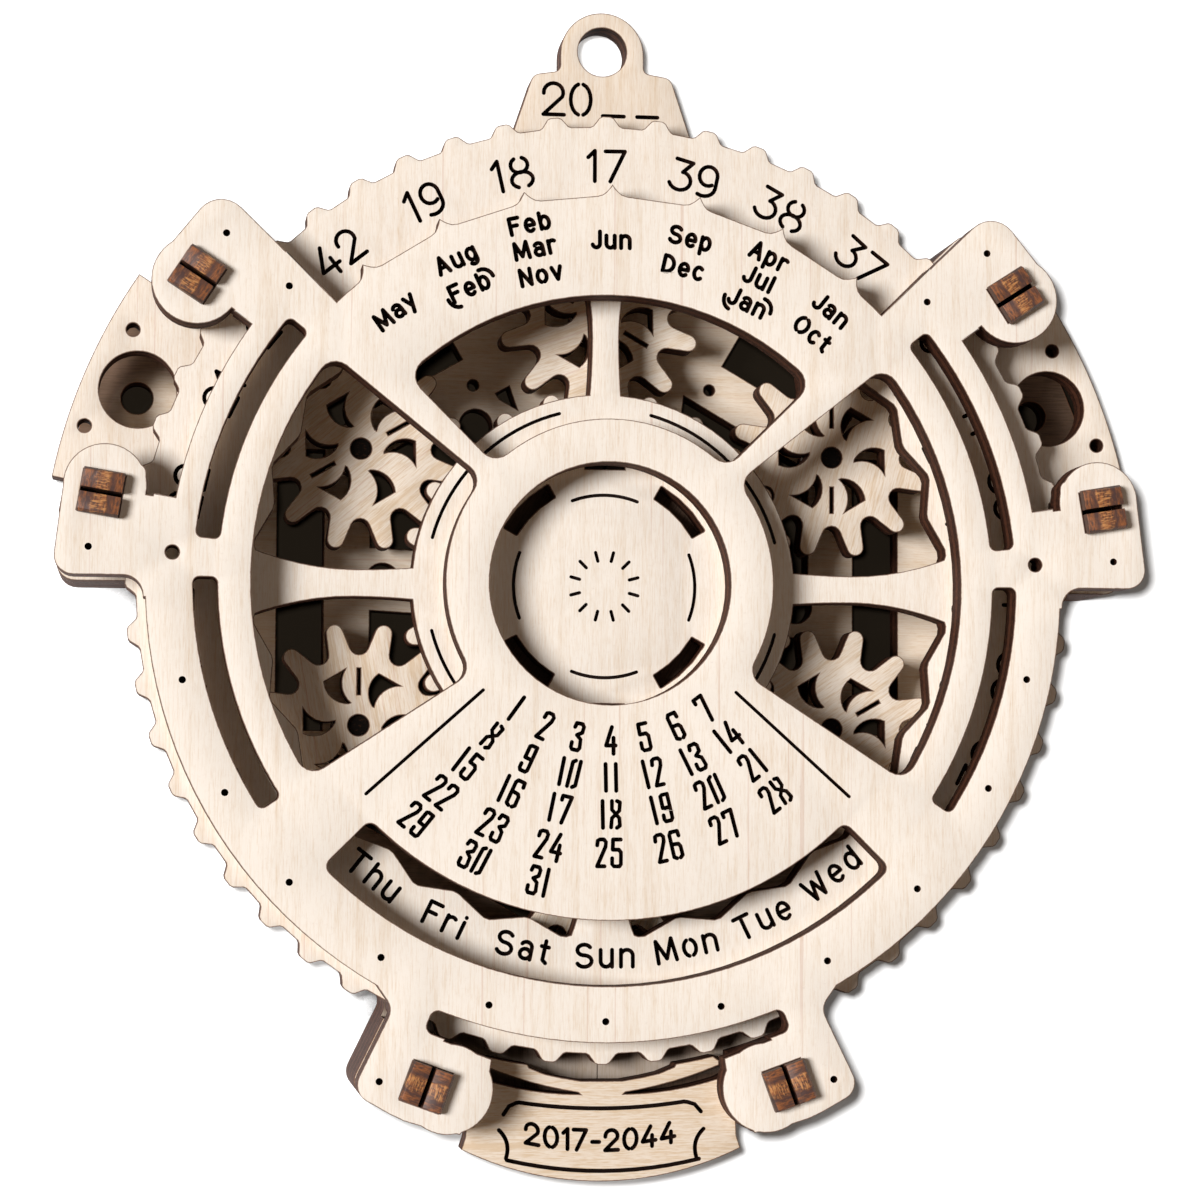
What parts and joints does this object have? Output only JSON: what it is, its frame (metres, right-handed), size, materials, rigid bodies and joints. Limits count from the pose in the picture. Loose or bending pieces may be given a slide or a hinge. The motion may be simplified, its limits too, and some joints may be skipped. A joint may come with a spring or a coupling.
{
  "type": "perpetual desk calendar",
  "caption": "Flat layered plywood calendar: a front plate with windows over a turning year and weekday disc, with a sun gear driving a ring of planet gears.",
  "frame": {"origin": "on the axis of the calendar disc, in the plane of the back plate's rear face", "axes": "+Z out of the front face, towards the reader; +Y up, towards the hanging loop; +X to the reader's right"},
  "size_m": [0.1224, 0.1316, 0.0229],
  "materials": {
    "birch_ply": "raw pale birch plywood, laser-cut edges charred brown",
    "charred_ply": "charred brown laser-cut end grain"
  },
  "bodies": {
    "frame": {"front_plate": "birch_ply", "back_plate": "birch_ply", "left_ear": "birch_ply", "right_ear": "birch_ply", "hanger": "birch_ply", "plaque": "birch_ply", "upper_left_spacer": "birch_ply", "upper_right_spacer": "birch_ply", "side_left_spacer": "birch_ply", "side_right_spacer": "birch_ply", "lower_left_spacer": "birch_ply", "lower_right_spacer": "birch_ply", "front_shims": "birch_ply", "rear_spacer_1": "birch_ply", "rear_spacer_2": "birch_ply", "rear_spacer_3": "birch_ply", "rear_spacer_4": "birch_ply", "rear_spacer_5": "birch_ply", "rear_spacer_6": "birch_ply", "hanger_spacer": "birch_ply", "hanger_pins": "charred_ply", "clip_1": "charred_ply", "clip_2": "charred_ply", "clip_3": "charred_ply", "clip_4": "charred_ply", "clip_5": "charred_ply", "clip_6": "charred_ply", "centre_axle": "charred_ply", "centre_washer": "birch_ply", "planet_axle_1": "charred_ply", "planet_axle_2": "charred_ply", "planet_axle_3": "charred_ply", "planet_axle_4": "charred_ply", "planet_axle_5": "charred_ply", "planet_axle_6": "charred_ply", "planet_washer_1": "birch_ply", "planet_washer_2": "birch_ply", "planet_washer_3": "birch_ply", "planet_washer_4": "birch_ply", "planet_washer_5": "birch_ply", "planet_washer_6": "birch_ply"},
    "disc": {"calendar_disc": "birch_ply", "sun_gear": "birch_ply", "upper_disc_clip": "charred_ply", "lower_disc_clip": "charred_ply"},
    "planet_1": {"planet_gear_1": "birch_ply"},
    "planet_2": {"planet_gear_2": "birch_ply"},
    "planet_3": {"planet_gear_3": "birch_ply"},
    "planet_4": {"planet_gear_4": "birch_ply"},
    "planet_5": {"planet_gear_5": "birch_ply"},
    "planet_6": {"planet_gear_6": "birch_ply"}
  },
  "joints": [
    {"name": "disc_turn", "type": "hinge", "parent": "frame", "child": "disc", "pos_m": [0, 0, 0.0141], "axis": [0, 0, 1], "continuous": true},
    {"name": "planet_1_turn", "type": "hinge", "parent": "frame", "child": "planet_1", "pos_m": [0.02693, 0.01555, 0.0084], "axis": [0, 0, 1], "continuous": true},
    {"name": "planet_2_turn", "type": "hinge", "parent": "frame", "child": "planet_2", "pos_m": [0, 0.0311, 0.0084], "axis": [0, 0, 1], "continuous": true},
    {"name": "planet_3_turn", "type": "hinge", "parent": "frame", "child": "planet_3", "pos_m": [-0.02693, 0.01555, 0.0084], "axis": [0, 0, 1], "continuous": true},
    {"name": "planet_4_turn", "type": "hinge", "parent": "frame", "child": "planet_4", "pos_m": [-0.02693, -0.01555, 0.0084], "axis": [0, 0, 1], "continuous": true},
    {"name": "planet_5_turn", "type": "hinge", "parent": "frame", "child": "planet_5", "pos_m": [0, -0.0311, 0.0084], "axis": [0, 0, 1], "continuous": true},
    {"name": "planet_6_turn", "type": "hinge", "parent": "frame", "child": "planet_6", "pos_m": [0.02693, -0.01555, 0.0084], "axis": [0, 0, 1], "continuous": true}
  ],
  "couplings": [
    {"joint": "planet_1_turn", "follows": "disc_turn", "ratio": -2},
    {"joint": "planet_2_turn", "follows": "disc_turn", "ratio": -2},
    {"joint": "planet_3_turn", "follows": "disc_turn", "ratio": -2},
    {"joint": "planet_4_turn", "follows": "disc_turn", "ratio": -2},
    {"joint": "planet_5_turn", "follows": "disc_turn", "ratio": -2},
    {"joint": "planet_6_turn", "follows": "disc_turn", "ratio": -2}
  ]
}
